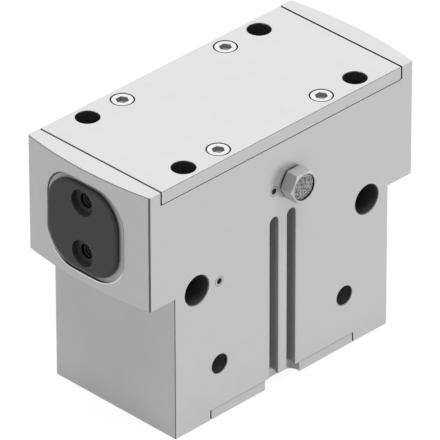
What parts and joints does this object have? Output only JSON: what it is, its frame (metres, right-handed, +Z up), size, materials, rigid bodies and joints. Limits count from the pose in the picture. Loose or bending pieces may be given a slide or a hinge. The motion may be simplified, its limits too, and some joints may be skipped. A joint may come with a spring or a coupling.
{
  "type": "pneumatic parallel gripper",
  "caption": "Sealed pneumatic parallel gripper: a wide head with opposed rounded-square jaws over a narrower cylinder block with air ports and sensor slots.",
  "frame": {"origin": "middle of the bottom face, which stands on Z = 0", "axes": "+X along the jaws, which open away from X = 0; -Y out of the face with the air ports and sensor slots; +Z up, towards the top cover"},
  "size_m": [0.1596, 0.0774, 0.1216],
  "materials": {
    "housing_metal": "hard anodised, satin light grey",
    "cover_metal": "hard anodised, satin light grey",
    "jaw_steel": "hardened and dark coated",
    "screw_steel": "bright zinc plated",
    "rod_steel": "hard chromed and polished",
    "wedge_steel": "ground tool steel",
    "breather_metal": "nickel plated",
    "sintered_metal": "sintered grains, grey",
    "bush_bronze": "bearing bronze",
    "magnet": "plastic bonded magnet",
    "slide_ring": "filled PTFE",
    "black_rubber": "nitrile rubber",
    "seal_polyurethane": "polyurethane"
  },
  "bodies": {
    "housing_body": {"housing": "housing_metal", "top_cover": "cover_metal", "cover_seal": "black_rubber", "cover_screws": "screw_steel", "bottom_cap": "housing_metal", "cap_seal": "black_rubber", "cap_screws": "screw_steel", "left_jaw_wiper": "seal_polyurethane", "right_jaw_wiper": "seal_polyurethane", "rod_bush": "bush_bronze", "rod_seal": "seal_polyurethane", "rod_seal_circlip": "wedge_steel", "vent_body": "breather_metal", "vent_filter": "sintered_metal", "vent_washer": "breather_metal", "channel_plug_sleeves": "screw_steel", "channel_plug_pins": "wedge_steel"},
    "piston_body": {"piston": "cover_metal", "piston_rod": "rod_steel", "piston_screw": "screw_steel", "piston_seals": "black_rubber", "piston_magnet": "magnet", "piston_guide_ring": "slide_ring", "piston_buffers": "black_rubber", "wedge": "wedge_steel", "wedge_screw": "screw_steel"},
    "left_jaw_body": {"left_jaw": "jaw_steel"},
    "right_jaw_body": {"right_jaw": "jaw_steel"}
  },
  "joints": [
    {"name": "piston_slide", "type": "slide", "parent": "housing_body", "child": "piston_body", "axis": [0, 0, 1], "range_m": [0, 0.02]},
    {"name": "left_jaw_slide", "type": "slide", "parent": "housing_body", "child": "left_jaw_body", "axis": [-1, 0, 0], "range_m": [0, 0.012]},
    {"name": "right_jaw_slide", "type": "slide", "parent": "housing_body", "child": "right_jaw_body", "axis": [1, 0, 0], "range_m": [0, 0.012]}
  ],
  "couplings": [
    {"joint": "left_jaw_slide", "follows": "piston_slide", "ratio": 0.6},
    {"joint": "right_jaw_slide", "follows": "piston_slide", "ratio": 0.6}
  ]
}
